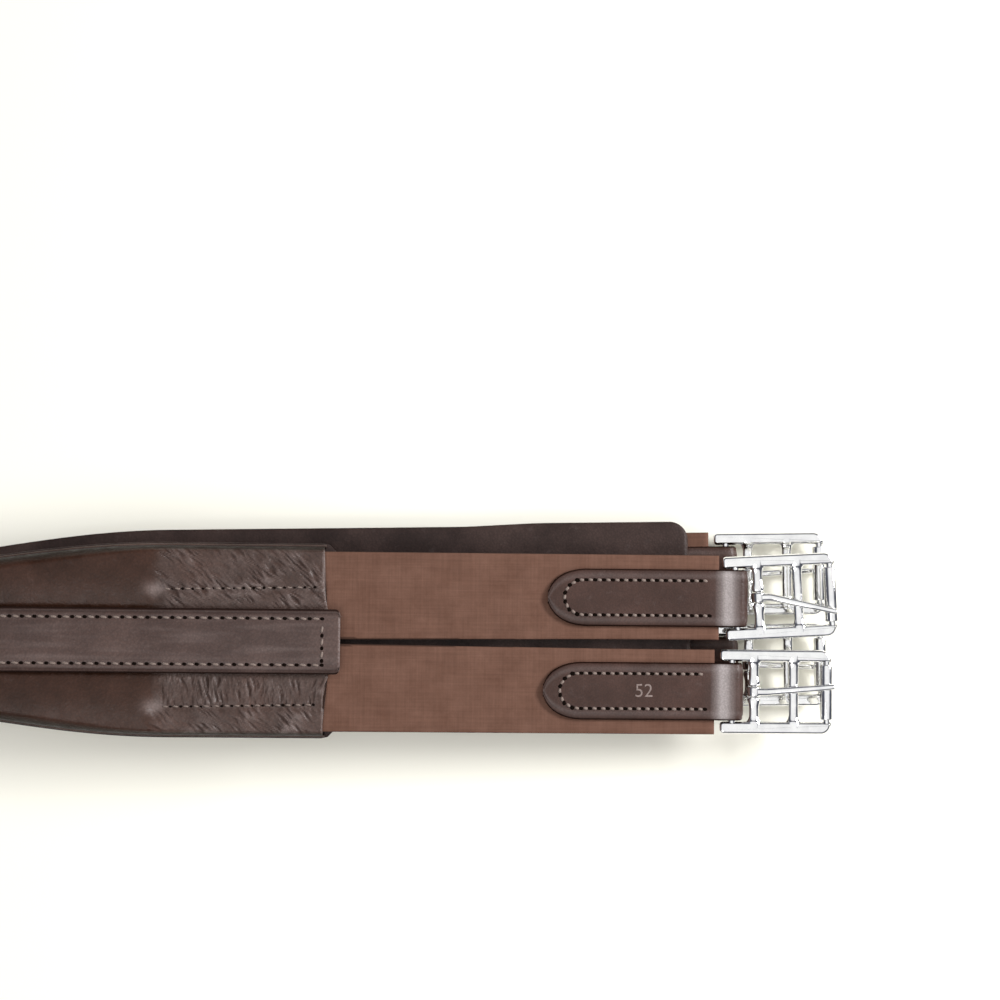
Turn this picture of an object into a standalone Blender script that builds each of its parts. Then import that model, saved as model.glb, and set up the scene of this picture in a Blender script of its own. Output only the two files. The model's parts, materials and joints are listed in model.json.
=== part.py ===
"""Saddle girth, folded in half: a contoured padded leather body with a raised strap,
and at each end two elastic insets with leather chapes and roller buckles.

Each half is drawn in its own frame: x runs from the fold towards the buckles, y across,
and z up through the thickness, with the outer (strap) side at z = 0.
"""

import math

import bmesh
import bpy
from mathutils import Matrix

COLLECTION = "saddle_girth"

# Driving dimensions, in metres
GAP = 0.0003
STRAP_HALF_WIDTH = 0.0155
STRAP_THICKNESS = 0.0035
STRAP_END = 0.394
COVER_BOTTOM = STRAP_THICKNESS + GAP
COVER_WALL = 0.0016
COVER_TOP = 0.0126
COVER_END = 0.3867
WEB_HALF_WIDTH = 0.015
WEB_BOTTOM = 0.0057
WEB_TOP = 0.0067
FOAM_BOTTOM = 0.007
FOAM_END = 0.305
LINING_BOTTOM = COVER_TOP + GAP
LINING_TOP = 0.0165
LINING_END = 0.5633
FLAP_HALF_WIDTH = 0.043
FLAP_CORNER = 0.009

# Plan of the pad: wide at the fold, a waist, and wide again at the buckle end
FOLD_HALF_WIDTH = 0.042
WAIST_HALF_WIDTH = 0.0293
END_HALF_WIDTH = 0.0455
FOLD_PLAIN_END = -0.005
WAIST_AT = 0.134
PAD_WIDE_FROM = 0.310

# Fold: a chain of short links, hinged along the outer face
LINKS = 5
FOLD_ANGLE = math.radians(181.9)
LINK_ANGLE = FOLD_ANGLE / (LINKS + 1)
LINK_LENGTH = 0.0143
HALF_SKEW = math.radians(0.57)
CENTRE_X = 0.3073  # middle of the folded girth's length, from the hinge line

# Elastics, chapes and buckles
ELASTIC_START = 0.310
ELASTIC_END = 0.5742
ELASTIC_OFFSET = 0.0224
ELASTIC_HALF_WIDTH = 0.02075
ELASTIC_BOTTOM = 0.0063
ELASTIC_TOP = 0.0087
BAR_X = 0.5827
BAR_Z = (ELASTIC_BOTTOM + ELASTIC_TOP) / 2
CHAPE_LENGTH = 0.0914
CHAPE_HALF_WIDTH = 0.0138
CHAPE_THICKNESS = 0.0023
CHAPE_LEAF_OFFSET = 0.00265
CHAPE_EYE_RADIUS = 0.0022
CHAPE_EYE_SLACK = 0.001
BAR_RADIUS = 0.0018
RAIL_BACK = -0.006
RAIL_FRONT = 0.0479
RAIL_INNER = 0.0145
RAIL_WIDTH = 0.0058
RAIL_THICKNESS = 0.004
MIDDLE_BAR_X = 0.0108
THIRD_BAR_X = 0.030
FRONT_BAR_X = 0.046
FRONT_BAR_RADIUS = 0.0017
KNOB_RADIUS = 0.00275
KNOB_GAP = 0.00265
PIN_RADIUS = 0.0013
ROLLER_RADIUS = 0.0033
ROLLER_BORE = 0.002
ROLLER_HALF_LENGTH = 0.0132
EYE_RADIUS = 0.0036
EYE_BORE = 0.0016
EYE_HALF_WIDTH = 0.0023
TONGUE_LENGTH = 0.0385
TONGUE_ROOT_RADIUS = 0.0018
TONGUE_TIP_RADIUS = 0.00125

LEATHER = ((0.090, 0.052, 0.042), 0.42, 0.0)
TAB_LEATHER = ((0.094, 0.050, 0.043), 0.38, 0.0)
LINING = ((0.035, 0.026, 0.026), 0.7, 0.0)
FOAM = ((0.55, 0.50, 0.42), 0.95, 0.0)
WEB = ((0.12, 0.10, 0.09), 0.85, 0.0)
ELASTIC = ((0.22, 0.12, 0.085), 0.85, 0.0)
STEEL = ((0.83, 0.83, 0.82), 0.12, 1.0)

# Each buckle station: side, across sign, extra reach, buckle yaw and tongue yaw in plan
STATIONS = {
    "lower": (("left", 1, 0.0, 0.0, 3.0), ("right", -1, 0.0, 0.0, -3.0)),
    "upper": (("left", 1, 0.002, 3.2, -15.0), ("right", -1, 0.0, 0.0, 5.0)),
}


def clear_scene():
    for obj in list(bpy.data.objects):
        bpy.data.objects.remove(obj, do_unlink=True)


def new_collection(name):
    collection = bpy.data.collections.new(name)
    bpy.context.scene.collection.children.link(collection)
    return collection


def material(name, look):
    colour, roughness, metallic = look
    made = bpy.data.materials.new(name)
    made.use_nodes = True
    shader = made.node_tree.nodes["Principled BSDF"]
    shader.inputs["Base Color"].default_value = (*colour, 1.0)
    shader.inputs["Roughness"].default_value = roughness
    shader.inputs["Metallic"].default_value = metallic
    made.diffuse_color = (*colour, 1.0)
    return made


def place(name, data, look, parent):
    """The data as a part object at its parent's origin, with a material of its own."""
    obj = bpy.data.objects.new(name, data)
    parts.objects.link(obj)
    obj.parent = parent
    data.materials.clear()
    data.materials.append(material(name, look))
    return obj


def empty(name, parent, matrix):
    obj = bpy.data.objects.new(name, None)
    obj.empty_display_size = 0.01
    parts.objects.link(obj)
    obj.parent = parent
    obj.matrix_basis = matrix
    return obj


def outline_curve(name, points, low, high, rounding):
    """A flat closed outline made solid from low to high, its rims rounded."""
    curve = bpy.data.curves.new(name, "CURVE")
    curve.dimensions = "2D"
    curve.fill_mode = "BOTH"
    curve.extrude = (high - low) / 2 - rounding
    curve.bevel_depth = rounding
    curve.bevel_resolution = 1
    curve.offset = -rounding
    spline = curve.splines.new("POLY")
    spline.points.add(len(points) - 1)
    for point, (x, y) in zip(spline.points, points):
        point.co = (x, y, 0.0, 1.0)
    spline.use_cyclic_u = True
    return curve, Matrix.Translation((0.0, 0.0, (low + high) / 2))


def curve_mesh(curve, matrix):
    """The solid of a curve as a mesh, welded and moved by the matrix."""
    holder = bpy.data.objects.new(curve.name, curve)
    bpy.context.scene.collection.objects.link(holder)
    graph = bpy.context.evaluated_depsgraph_get()
    mesh = bpy.data.meshes.new_from_object(holder.evaluated_get(graph))
    bpy.data.objects.remove(holder, do_unlink=True)
    mesh.transform(matrix)
    work = bmesh.new()
    work.from_mesh(mesh)
    bmesh.ops.remove_doubles(work, verts=work.verts, dist=1e-6)
    face_outwards(work)
    work.to_mesh(mesh)
    work.free()
    return mesh


def face_outwards(work):
    bmesh.ops.recalc_face_normals(work, faces=work.faces)
    if work.calc_volume(signed=True) < 0:
        bmesh.ops.reverse_faces(work, faces=work.faces)


def outline_mesh(name, points, low, high, rounding):
    return curve_mesh(*outline_curve(name, points, low, high, rounding))


def soften(mesh, angle=40):
    mesh.shade_smooth()
    mesh.set_sharp_from_angle(angle=math.radians(angle))


def boolean(obj, other_mesh, operation):
    """A Boolean with a hidden helper, which sits at its parent's origin as the object does."""
    helper = bpy.data.objects.new(f"{obj.name}_{operation.lower()}", other_mesh)
    cutters.objects.link(helper)
    helper.parent = obj.parent
    helper.hide_render = True
    helper.display_type = "WIRE"
    modifier = obj.modifiers.new(helper.name, "BOOLEAN")
    modifier.operation = operation
    modifier.solver = "MANIFOLD"
    modifier.object = helper


def ease(t):
    return (1 - math.cos(math.pi * min(max(t, 0.0), 1.0))) / 2


def pad_half_width(x):
    """Half the pad's width at x: the fold, the waist and the buckle end, blended by cosines."""
    if x < WAIST_AT:
        share = ease((x - FOLD_PLAIN_END) / (WAIST_AT - FOLD_PLAIN_END))
        return FOLD_HALF_WIDTH + (WAIST_HALF_WIDTH - FOLD_HALF_WIDTH) * share
    share = ease((x - WAIST_AT) / (PAD_WIDE_FROM - WAIST_AT))
    return WAIST_HALF_WIDTH + (END_HALF_WIDTH - WAIST_HALF_WIDTH) * share


def steps(start, end, count):
    return [start + (end - start) * i / count for i in range(count + 1)]


def pad_stations(start, end):
    """Where the pad's curved sides have points; past PAD_WIDE_FROM they are straight."""
    curved = steps(start, min(end, PAD_WIDE_FROM), 24)
    return curved if end <= PAD_WIDE_FROM else curved + [end]


def pad_outline(start, end, inset):
    """The pad's plan from start to end, inset all round its sides, as a closed outline."""
    near = [(x, -pad_half_width(x) + inset) for x in pad_stations(start, end)]
    return near + [(x, -y) for x, y in reversed(near)]


def lining_outline(start):
    """The pad's plan, running on as a flap with rounded corners under the elastics."""
    near = [(x, -pad_half_width(x) + GAP) for x in pad_stations(start, COVER_END)]
    near.append((COVER_END + 0.006, -FLAP_HALF_WIDTH))
    centre_x = LINING_END - FLAP_CORNER
    centre_y = -FLAP_HALF_WIDTH + FLAP_CORNER
    for i in range(7):
        turn = math.radians(-90 + 15 * i)
        near.append(
            (centre_x + FLAP_CORNER * math.cos(turn), centre_y + FLAP_CORNER * math.sin(turn))
        )
    return near + [(x, -y) for x, y in reversed(near)]


def rectangle(x0, x1, half_width):
    return [(x0, -half_width), (x1, -half_width), (x1, half_width), (x0, half_width)]


def fold_clearance(height):
    """How far a half's end stands back from the hinge line so the fold can close there."""
    return height * math.tan(LINK_ANGLE / 2) + GAP


def make_half(name, root):
    """The pieces of one half that do not move against each other."""
    lining = outline_mesh(
        "lining", lining_outline(fold_clearance(LINING_TOP)), LINING_BOTTOM, LINING_TOP, 0.0012
    )
    foam = outline_mesh(
        "foam",
        pad_outline(fold_clearance(COVER_TOP), FOAM_END, COVER_WALL + GAP),
        FOAM_BOTTOM,
        COVER_TOP,
        0.001,
    )
    cover_start = fold_clearance(COVER_TOP)
    cover = outline_mesh(
        "cover", pad_outline(cover_start, COVER_END, 0.0), COVER_BOTTOM, COVER_TOP, 0.001
    )
    hollow = outline_mesh(
        "hollow",
        pad_outline(cover_start - 0.003, COVER_END + 0.003, COVER_WALL),
        COVER_BOTTOM + COVER_WALL,
        COVER_TOP + 0.003,
        0.0,
    )
    strap = outline_mesh(
        "strap",
        rectangle(fold_clearance(STRAP_THICKNESS), STRAP_END, STRAP_HALF_WIDTH),
        0.0,
        STRAP_THICKNESS,
        0.0008,
    )
    web = outline_mesh(
        "web",
        rectangle(fold_clearance(WEB_TOP), FOAM_END, WEB_HALF_WIDTH),
        WEB_BOTTOM,
        WEB_TOP,
        0.0002,
    )
    place(f"{name}_lining", lining, LINING, root)
    place(f"{name}_foam", foam, FOAM, root)
    cover_obj = place(f"{name}_cover", cover, LEATHER, root)
    boolean(cover_obj, hollow, "DIFFERENCE")
    place(f"{name}_strap", strap, LEATHER, root)
    place(f"{name}_web", web, WEB, root)
    for mesh in (lining, foam, cover, strap, web):
        soften(mesh)


def link_profile(low, high):
    """A fold link's side view: it narrows towards the inside of the fold."""
    points = []
    for z, sign in ((low, 1), (high, 1), (high, -1), (low, -1)):
        reach = LINK_LENGTH / 2 - z * math.tan(LINK_ANGLE / 2) - GAP / 2
        points.append((-LINK_LENGTH / 2 + sign * reach, z))
    return points


def make_link(number, pivot):
    """One link of the fold: a slice of the pad and a slice of the strap."""
    upright = Matrix.Rotation(math.pi / 2, 4, "X")
    for kind, low, high, half_width, look in (
        ("pad", COVER_BOTTOM, LINING_TOP, FOLD_HALF_WIDTH, LEATHER),
        ("strap", 0.0, STRAP_THICKNESS, STRAP_HALF_WIDTH, LEATHER),
    ):
        mesh = outline_mesh(f"fold_{kind}", link_profile(low, high), -half_width, half_width, 0.0004)
        mesh.transform(upright)
        soften(mesh)
        place(f"fold_{kind}_{number}", mesh, look, pivot)


def strip_mesh(name, path, half_widths):
    """The middle surface of a leather strip along a path in the x-z plane."""
    work = bmesh.new()
    rows = []
    for (x, z), half in zip(path, half_widths):
        rows.append([work.verts.new((x, side * half, z)) for side in (-1, 0, 1)])
    for row, after in zip(rows, rows[1:]):
        for i in range(2):
            work.faces.new((row[i], after[i], after[i + 1], row[i + 1]))
    mesh = bpy.data.meshes.new(name)
    work.to_mesh(mesh)
    work.free()
    return mesh


def chape_path():
    """From the outer leaf's tip, round the bar, back along the inner leaf."""
    radius = CHAPE_EYE_RADIUS + CHAPE_THICKNESS / 2
    neck = -0.009
    path = [(x, -CHAPE_LEAF_OFFSET) for x in steps(-CHAPE_LENGTH, -CHAPE_LENGTH + 0.013, 9)]
    path += [(x, -CHAPE_LEAF_OFFSET) for x in steps(-CHAPE_LENGTH + 0.02, neck, 2)]
    path.append((neck / 2, -(CHAPE_LEAF_OFFSET + radius) / 2))
    path.append((-CHAPE_EYE_SLACK, -radius))
    for i in range(13):
        turn = math.radians(-90 + 15 * i)
        path.append((CHAPE_EYE_SLACK + radius * math.cos(turn), radius * math.sin(turn)))
    return path + [(x, -z) for x, z in reversed(path[:14])]


def tip_half_width(x):
    """The chape is half-round at its tips."""
    inside = min(x + CHAPE_LENGTH + 0.0012, CHAPE_HALF_WIDTH)
    return math.sqrt(CHAPE_HALF_WIDTH**2 - (CHAPE_HALF_WIDTH - inside) ** 2)


def make_chape(name, pivot):
    path = chape_path()
    mesh = strip_mesh("chape", path, [tip_half_width(x) for x, z in path])
    obj = place(name, mesh, TAB_LEATHER, pivot)
    thicken = obj.modifiers.new("thickness", "SOLIDIFY")
    thicken.thickness = CHAPE_THICKNESS
    thicken.offset = 0.0
    soften(mesh)


def rail_mesh(side):
    """A buckle rail: a bar with a large radius at its outer front corner, rims rounded."""
    length = RAIL_FRONT - RAIL_BACK
    centre = (RAIL_BACK + length / 2, side * (RAIL_INNER + RAIL_WIDTH / 2), 0.0)
    sizes = Matrix.Diagonal((length, RAIL_WIDTH, RAIL_THICKNESS, 1.0))
    work = bmesh.new()
    bmesh.ops.create_cube(work, size=1.0, matrix=Matrix.Translation(centre) @ sizes)
    corner = [
        edge
        for edge in work.edges
        if all(v.co.x > centre[0] and side * v.co.y > RAIL_INNER + GAP for v in edge.verts)
    ]
    bmesh.ops.bevel(work, geom=corner, offset=0.005, segments=4, profile=0.5, affect="EDGES")
    rims = [edge for edge in work.edges if edge.calc_face_angle() > math.radians(60)]
    bmesh.ops.bevel(work, geom=rims, offset=0.001, segments=2, profile=0.5, affect="EDGES")
    return finish_mesh(work, "rail")


def turned_mesh(name, profile, segments, x):
    """A shape turned about the y axis at x, from (along, radius) pairs running to +y."""
    work = bmesh.new()
    rings = []
    for along, radius in profile:
        ring = []
        for i in range(segments):
            turn = 2 * math.pi * i / segments
            ring.append(work.verts.new((x + radius * math.cos(turn), along, radius * math.sin(turn))))
        rings.append(ring)
    for ring, after in zip(rings, rings[1:]):
        for i in range(segments):
            j = (i + 1) % segments
            work.faces.new((ring[i], after[i], after[j], ring[j]))
    return work, rings


def finish_mesh(work, name):
    face_outwards(work)
    mesh = bpy.data.meshes.new(name)
    work.to_mesh(mesh)
    work.free()
    return mesh


def bar_mesh(name, profile, segments, x):
    """A solid turned bar with flat ends."""
    work, rings = turned_mesh(name, profile, segments, x)
    work.faces.new(rings[0])
    work.faces.new(rings[-1])
    return finish_mesh(work, name)


def tube_mesh(name, half_length, outer, bore, segments):
    """A short tube on the y axis with slightly rounded rims."""
    rim = 0.0004
    profile = (
        (-half_length, bore),
        (-half_length, outer - rim),
        (-half_length + rim, outer),
        (half_length - rim, outer),
        (half_length, outer - rim),
        (half_length, bore),
    )
    work, rings = turned_mesh(name, profile, segments, 0.0)
    for i in range(segments):
        j = (i + 1) % segments
        work.faces.new((rings[-1][i], rings[0][i], rings[0][j], rings[-1][j]))
    return finish_mesh(work, name)


def make_frame(name, pivot):
    """Two rails joined by the chape bar, the tongue's bar with its knobs, and two more."""
    obj = place(name, rail_mesh(1), STEEL, pivot)
    reach = RAIL_INNER + RAIL_WIDTH / 2
    thick_from, thick_to = 0.0065, 0.0045
    middle = (
        (-reach, BAR_RADIUS),
        (-thick_from, BAR_RADIUS),
        (-thick_to, KNOB_RADIUS),
        (-KNOB_GAP, KNOB_RADIUS),
        (-KNOB_GAP, PIN_RADIUS),
        (KNOB_GAP, PIN_RADIUS),
        (KNOB_GAP, KNOB_RADIUS),
        (thick_to, KNOB_RADIUS),
        (thick_from, BAR_RADIUS),
        (reach, BAR_RADIUS),
    )
    plain = ((-reach, BAR_RADIUS), (reach, BAR_RADIUS))
    front = ((-reach, FRONT_BAR_RADIUS), (reach, FRONT_BAR_RADIUS))
    joined = (
        bar_mesh("chape_bar", plain, 16, 0.0),
        bar_mesh("tongue_bar", middle, 16, MIDDLE_BAR_X),
        bar_mesh("third_bar", plain, 16, THIRD_BAR_X),
        bar_mesh("front_bar", front, 16, FRONT_BAR_X),
        rail_mesh(-1),
    )
    for mesh in joined:
        boolean(obj, mesh, "UNION")


def tongue_arm(yaw):
    """A tapering rod from the eye to where it lies across the roller."""
    root_z = EYE_RADIUS - TONGUE_ROOT_RADIUS + 0.0003
    tip_z = ROLLER_RADIUS + GAP + TONGUE_TIP_RADIUS
    curve = bpy.data.curves.new("tongue_arm", "CURVE")
    curve.dimensions = "3D"
    curve.bevel_depth = TONGUE_ROOT_RADIUS
    curve.bevel_resolution = 2
    curve.use_fill_caps = True
    spline = curve.splines.new("POLY")
    stations = steps(0.0, 1.0, 6)
    spline.points.add(len(stations) - 1)
    start = 0.0012
    for point, t in zip(spline.points, stations):
        along = start + (TONGUE_LENGTH - start) * t
        drop = root_z + (tip_z - root_z) * ease(t * 1.15)
        aside = max(0.0, along - 1.5 * EYE_RADIUS) * math.sin(yaw)
        point.co = (along * math.cos(yaw), aside, -drop, 1.0)
        point.radius = 1 + (TONGUE_TIP_RADIUS / TONGUE_ROOT_RADIUS - 1) * t
    return curve_mesh(curve, Matrix.Identity(4))


def make_tongue(name, pivot, yaw):
    eye = tube_mesh("eye", EYE_HALF_WIDTH, EYE_RADIUS, EYE_BORE, 20)
    obj = place(name, eye, STEEL, pivot)
    boolean(obj, tongue_arm(yaw), "UNION")


def make_station(half, side, across, reach, frame_yaw, tongue_yaw, root, flip):
    """One elastic with its chape, buckle frame, tongue and roller."""
    label = f"{half}_{side}"
    y = across * flip * ELASTIC_OFFSET
    chape = empty(f"{label}_chape_axis", root, Matrix.Translation((BAR_X + reach, y, BAR_Z)))
    span = rectangle(ELASTIC_START - BAR_X - reach, ELASTIC_END - BAR_X, ELASTIC_HALF_WIDTH)
    thick = (ELASTIC_TOP - ELASTIC_BOTTOM) / 2
    elastic = outline_mesh("elastic", span, -thick, thick, 0.0005)
    soften(elastic)
    place(f"{label}_elastic", elastic, ELASTIC, chape)
    make_chape(f"{label}_chape", chape)
    turn = Matrix.Rotation(math.radians(flip * frame_yaw), 4, "Z")
    frame = empty(f"{label}_frame_axis", chape, turn)
    make_frame(f"{label}_frame", frame)
    tongue = empty(f"{label}_tongue_axis", frame, Matrix.Translation((MIDDLE_BAR_X, 0, 0)))
    make_tongue(f"{label}_tongue", tongue, math.radians(flip * tongue_yaw))
    roller = empty(f"{label}_roller_axis", frame, Matrix.Translation((FRONT_BAR_X, 0, 0)))
    mesh = tube_mesh("roller", ROLLER_HALF_LENGTH, ROLLER_RADIUS, ROLLER_BORE, 24)
    soften(mesh)
    place(f"{label}_roller", mesh, STEEL, roller)


def main():
    root = empty("fold_line", None, Matrix.Translation((-CENTRE_X, 0.0, 0.0)))
    lower = empty("lower_half_axis", root, Matrix.Rotation(HALF_SKEW, 4, "Z"))
    make_half("lower", lower)
    turn = Matrix.Rotation(LINK_ANGLE, 4, "Y")
    along = Matrix.Translation((-LINK_LENGTH, 0.0, 0.0))
    pivot = root
    for number in range(1, LINKS + 1):
        pivot = empty(f"fold_{number}_axis", pivot, turn if number == 1 else along @ turn)
        make_link(number, pivot)
    about = Matrix.Rotation(math.pi + HALF_SKEW, 4, "Z")
    upper = empty("upper_half_axis", pivot, along @ turn @ about)
    make_half("upper", upper)
    for half, axis, flip in (("lower", lower, 1), ("upper", upper, -1)):
        for side, across, reach, frame_yaw, tongue_yaw in STATIONS[half]:
            make_station(half, side, across, reach, frame_yaw, tongue_yaw, axis, flip)


clear_scene()
parts = new_collection(COLLECTION)
cutters = new_collection("cutters")
main()
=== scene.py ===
"""The looks of the folded saddle girth: padded leather, stitched strap, woven elastics, chrome buckles.

Shapes are drawn in millimetres in a half's own frame: x runs from the fold to the buckles, y across,
and z from the outer (strap) side inwards. The frame's joints say where each half and buckle lies.
"""

import json
import math

import bmesh
import bpy
import numpy as np
from mathutils import Matrix, Vector, noise


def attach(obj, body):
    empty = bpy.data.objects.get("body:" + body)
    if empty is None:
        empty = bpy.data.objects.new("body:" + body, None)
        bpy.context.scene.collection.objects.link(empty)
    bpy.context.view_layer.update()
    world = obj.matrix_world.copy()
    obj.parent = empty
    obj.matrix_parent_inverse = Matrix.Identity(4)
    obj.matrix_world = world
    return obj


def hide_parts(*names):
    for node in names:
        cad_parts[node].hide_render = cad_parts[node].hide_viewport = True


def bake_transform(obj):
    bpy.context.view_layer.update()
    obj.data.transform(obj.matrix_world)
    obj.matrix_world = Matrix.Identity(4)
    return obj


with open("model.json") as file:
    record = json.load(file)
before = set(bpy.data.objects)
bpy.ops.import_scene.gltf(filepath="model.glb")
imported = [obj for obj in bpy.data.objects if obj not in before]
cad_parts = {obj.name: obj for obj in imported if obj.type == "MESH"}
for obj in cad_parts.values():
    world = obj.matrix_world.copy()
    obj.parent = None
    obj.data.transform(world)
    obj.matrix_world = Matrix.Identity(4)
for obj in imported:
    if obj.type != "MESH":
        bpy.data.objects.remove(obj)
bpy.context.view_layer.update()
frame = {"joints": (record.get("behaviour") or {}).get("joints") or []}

MM = 0.001
HALVES = ("lower", "upper")
SIDES = ("left", "right")
LINKS = 5
STRAP_ROW = 11.0

# Body of the girth
STRAP_HALF, STRAP_DEPTH, STRAP_END = 15.5, 3.5, 394.0
COVER_OUT, COVER_IN, COVER_END = 3.8, 12.6, 386.7
LINING_MID, LINING_DEEP, LINING_END, LINING_PAST = 14.6, 2.0, 563.3, 1.5
FLAP_HALF, FLAP_CORNER = 43.0, 9.0
FOLD_HALF, WAIST_HALF, END_HALF = 42.0, 29.3, 45.5
WAIST_AT, PLAIN_END, WIDE_FROM = 134.0, -5.0, 310.0
FLAT_FROM = 309.0
ARC_START = 7.15
ARC_RADIUS = 26.4
ROWS = ((24.5, 1), (-31.5, -1))

# Elastics, chapes and buckles, from the chape bar's centre
ELASTIC_HALF, ELASTIC_DEEP, ELASTIC_BACK, STRETCH_FROM = 20.75, 1.2, -245.0, -192.0
CHAPE_HALF, CHAPE_THICK, CHAPE_TIP, CHAPE_LEAF = 13.8, 2.3, -91.4, 2.65
RAIL_BACK, RAIL_FRONT, RAIL_INNER, RAIL_WIDE, RAIL_DEEP = -6.0, 47.9, 14.5, 5.8, 4.0
BAR_R, MIDDLE_X, THIRD_X, FRONT_X = 1.8, 10.8, 30.0, 46.0
ROLLER_R, ROLLER_HALF = 3.3, 13.2


# Where things are

joints = {j["name"]: j for j in frame["joints"]}


def axes_matrix(origin, along, across):
    """A frame with x along, y across, at origin in metres, for shapes drawn in millimetres."""
    x = Vector(along).normalized()
    y = Vector(across).normalized()
    z = x.cross(y).normalized()
    y = z.cross(x)
    turn = Matrix((x, y, z)).transposed().to_4x4()
    return Matrix.Translation(origin) @ turn @ Matrix.Scale(MM, 4)


def half_matrix(half):
    """A half's own frame, from the joints at its two ends."""
    origin = joints["fold_1" if half == "lower" else f"fold_{LINKS + 1}"]["pos_m"]
    return axes_matrix(
        origin, joints[f"{half}_right_stretch"]["axis"], joints[f"{half}_right_buckle_swing"]["axis"]
    )


HALF = {half: half_matrix(half) for half in HALVES}


def chape_matrix(label):
    """The half's frame moved to the chape's bar."""
    half = label.split("_")[0]
    out = HALF[half].copy()
    out.translation = Vector(joints[f"{label}_buckle_swing"]["pos_m"])
    return out


def buckle_matrix(label):
    """The buckle's frame: x to the front bar, y across, z inwards."""
    half = label.split("_")[0]
    across = Vector(joints[f"{label}_buckle_swing"]["axis"])
    inwards = HALF[half].to_3x3() @ Vector((0, 0, 1))
    return axes_matrix(joints[f"{label}_buckle_swing"]["pos_m"], across.cross(inwards), across)


def new_object(name, data):
    """A new object, linked to the scene."""
    obj = bpy.data.objects.new(name, data)
    bpy.context.scene.collection.objects.link(obj)
    return obj


# Materials


def node_material(name, roughness, metallic=0.0, sheen=0.0, specular=0.5):
    """A new material with its node tree and shader."""
    made = bpy.data.materials.new(name)
    made.use_nodes = True
    tree = made.node_tree
    shader = tree.nodes["Principled BSDF"]
    shader.inputs["Roughness"].default_value = roughness
    shader.inputs["Metallic"].default_value = metallic
    shader.inputs["Sheen Weight"].default_value = sheen
    shader.inputs["Specular IOR Level"].default_value = specular
    return made, tree, shader


def add(tree, kind, **inputs):
    """A node whose inputs take either a value or another node's output."""
    node = tree.nodes.new(kind)
    for name, value in inputs.items():
        socket = node.inputs[name.replace("_", " ")]
        if isinstance(value, bpy.types.NodeSocket):
            tree.links.new(value, socket)
        else:
            socket.default_value = value
    return node


def painted(tree, name):
    """A mesh attribute's value."""
    node = add(tree, "ShaderNodeAttribute")
    node.attribute_name = name
    return node.outputs["Fac"]


def ramp(tree, factor, stops):
    """The colour that factor picks from (position, colour) stops."""
    node = add(tree, "ShaderNodeValToRGB", Fac=factor)
    elements = node.color_ramp.elements
    while len(elements) < len(stops):
        elements.new(0.5)
    for element, (at, colour) in zip(elements, stops):
        element.position = at
        element.color = (*colour, 1.0) if len(colour) == 3 else colour
    return node.outputs["Color"]


def grey(value):
    """A neutral colour."""
    return (value, value, value)


def mix(tree, factor, first, second, how="MIX"):
    """Two colours mixed by factor."""
    node = tree.nodes.new("ShaderNodeMix")
    node.data_type = "RGBA"
    node.blend_type = how
    for socket, value in ((node.inputs[0], factor), (node.inputs[6], first), (node.inputs[7], second)):
        if isinstance(value, bpy.types.NodeSocket):
            tree.links.new(value, socket)
        else:
            socket.default_value = value if isinstance(value, float) else (*value, 1.0)
    return node.outputs[2]


def leather(name, dark, light, roughness, grain=900.0, scuffs=0.35, specular=0.3, rubbed_and_lit=0.1):
    """Fine pebble grain over slow colour drift, with a lighter colour for scuffs and worn crests that is
    partly painted highlight, and darkened edges that are partly painted shade.
    """
    made, tree, shader = node_material(name, roughness, specular=specular)
    where = tree.nodes.new("ShaderNodeTexCoord").outputs["Object"]
    drift = add(tree, "ShaderNodeTexNoise", Vector=where, Scale=38.0, Detail=5.0, Roughness=0.6)
    cells = add(tree, "ShaderNodeTexVoronoi", Vector=where, Scale=grain)
    pores = add(tree, "ShaderNodeTexNoise", Vector=where, Scale=grain * 2.2, Detail=3.0)
    lines = add(tree, "ShaderNodeTexNoise", Vector=where, Scale=220.0, Detail=6.0, Roughness=0.65)
    colour = ramp(tree, drift.outputs["Fac"], ((0.36, dark), (0.66, light)))
    # This lighter colour serves both real scuffs and painted highlights.
    worn_and_lit = tuple(c * 1.3 + rubbed_and_lit for c in light)
    scuff = ramp(tree, lines.outputs["Fac"], ((0.58, grey(0.0)), (0.82, grey(scuffs * 0.6))))
    colour = mix(tree, scuff, colour, worn_and_lit)
    # Painted highlight, partly wear: the mesh attribute lightens the colour wherever it is set.
    colour = mix(tree, painted(tree, "highlight_and_wear"), colour, worn_and_lit)
    pits = ramp(tree, cells.outputs["Distance"], ((0.0, grey(1.0)), (0.75, grey(0.72))))
    colour = mix(tree, 1.0, colour, pits, "MULTIPLY")
    # Painted shade, partly edge dye: the edge attribute darkens the colour and dulls its reflection. It gives
    # painted shade on the cover's side rolls, the strap's creases and top rims and round the tabs, and dark
    # edge dye on the strap's and tabs' sides.
    edge = painted(tree, "edge")
    colour = mix(tree, edge, colour, tuple(c * 0.28 for c in dark))
    tree.links.new(colour, shader.inputs["Base Color"])
    dull = ramp(tree, edge, ((0.0, grey(specular)), (0.8, grey(0.04))))
    tree.links.new(dull, shader.inputs["Specular IOR Level"])
    stops = ((0.3, grey(max(0.05, roughness - 0.1))), (0.75, grey(min(1.0, roughness + 0.14))))
    rough = ramp(tree, lines.outputs["Fac"], stops)
    tree.links.new(rough, shader.inputs["Roughness"])
    bump = add(tree, "ShaderNodeBump", Strength=0.55, Distance=0.00016, Height=cells.outputs["Distance"])
    bump.invert = True
    fine = add(tree, "ShaderNodeBump", Strength=0.35, Distance=0.0001, Height=pores.outputs["Fac"])
    tree.links.new(bump.outputs["Normal"], fine.inputs["Normal"])
    wide = add(tree, "ShaderNodeBump", Strength=0.5, Distance=0.0005, Height=lines.outputs["Fac"])
    tree.links.new(fine.outputs["Normal"], wide.inputs["Normal"])
    tree.links.new(wide.outputs["Normal"], shader.inputs["Normal"])
    return made


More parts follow.
